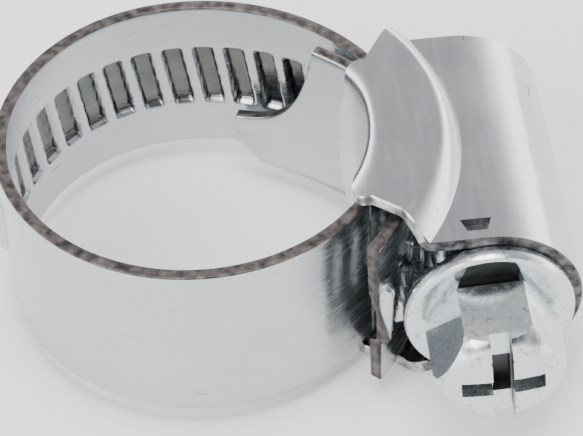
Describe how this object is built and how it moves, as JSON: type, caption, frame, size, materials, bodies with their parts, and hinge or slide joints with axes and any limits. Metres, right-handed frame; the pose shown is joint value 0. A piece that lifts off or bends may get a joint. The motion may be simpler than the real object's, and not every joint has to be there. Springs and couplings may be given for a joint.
{
  "type": "hose clamp",
  "caption": "Worm-drive band clamp for a hose: a slotted hex screw in a pressed housing draws a threaded steel strip tight around the loop.",
  "frame": {"origin": "centre of the band loop at rest, at the middle of the band width", "axes": "+Z along the hose; +X from the hose axis to the housing; the screw axis runs along Y with its head towards -Y"},
  "size_m": [0.027, 0.0231, 0.011],
  "materials": {
    "housing_zinc": "bright zinc plate, glossy",
    "screw_zinc": "zinc plate, slightly speckled",
    "band_zinc": "zinc plate, satin"
  },
  "bodies": {
    "housing": {"housing": "housing_zinc", "band_head": "band_zinc"},
    "screw": {"worm_screw": "screw_zinc"},
    "tail": {"band_tail": "band_zinc", "band_link_01": "band_zinc"},
    "tongue": {"band_tongue": "band_zinc"},
    "link_02": {"band_link_02": "band_zinc"},
    "link_03": {"band_link_03": "band_zinc", "band_link_04": "band_zinc", "band_link_05": "band_zinc", "band_link_06": "band_zinc"},
    "link_07": {"band_link_07": "band_zinc"},
    "link_08": {"band_link_08": "band_zinc"},
    "link_09": {"band_link_09": "band_zinc"},
    "link_10": {"band_link_10": "band_zinc"}
  },
  "joints": [
    {"name": "screw_turn", "type": "hinge", "parent": "housing", "child": "screw", "pos_m": [0.01226, 0, 0], "axis": [0, 1, 0], "range_deg": [-720, 2880]},
    {"name": "tail_feed", "type": "hinge", "parent": "housing", "child": "tail", "pos_m": [-0.00064, -0.0009, 0], "axis": [0, 0, -1], "range_deg": [-18.87, 71.15]},
    {"name": "tongue_flex", "type": "hinge", "parent": "housing", "child": "tongue", "pos_m": [0.00782, 0.00339, 0], "axis": [0, 0, 1], "range_deg": [-5.23, 19.63]},
    {"name": "flex_02", "type": "hinge", "parent": "tail", "child": "link_02", "pos_m": [-0.00458, 0.00852, 0], "axis": [0, 0, 1], "range_deg": [-4.76, 17.85]},
    {"name": "flex_03", "type": "hinge", "parent": "link_02", "child": "link_03", "pos_m": [-0.00712, 0.00664, 0], "axis": [0, 0, 1], "range_deg": [-2.34, 8.69]},
    {"name": "flex_07", "type": "hinge", "parent": "link_03", "child": "link_07", "pos_m": [-0.00686, -0.00553, 0], "axis": [0, 0, 1], "range_deg": [-1.15, 4.19]},
    {"name": "flex_08", "type": "hinge", "parent": "link_07", "child": "link_08", "pos_m": [-0.00361, -0.00767, 0], "axis": [0, 0, 1], "range_deg": [-2.69, 10.01]},
    {"name": "flex_09", "type": "hinge", "parent": "link_08", "child": "link_09", "pos_m": [0.00023, -0.00828, 0], "axis": [0, 0, 1], "range_deg": [-3.78, 14.15]},
    {"name": "flex_10", "type": "hinge", "parent": "link_09", "child": "link_10", "pos_m": [0.00397, -0.00725, 0], "axis": [0, 0, 1], "range_deg": [-4.41, 16.52]}
  ],
  "couplings": [
    {"joint": "tail_feed", "follows": "screw_turn", "ratio": 0.024203},
    {"joint": "tongue_flex", "follows": "screw_turn", "ratio": 0.0066667},
    {"joint": "flex_02", "follows": "screw_turn", "ratio": 0.0060579},
    {"joint": "flex_03", "follows": "screw_turn", "ratio": 0.0029403},
    {"joint": "flex_07", "follows": "screw_turn", "ratio": 0.0014099},
    {"joint": "flex_08", "follows": "screw_turn", "ratio": 0.0033894},
    {"joint": "flex_09", "follows": "screw_turn", "ratio": 0.0047985},
    {"joint": "flex_10", "follows": "screw_turn", "ratio": 0.0056072}
  ]
}
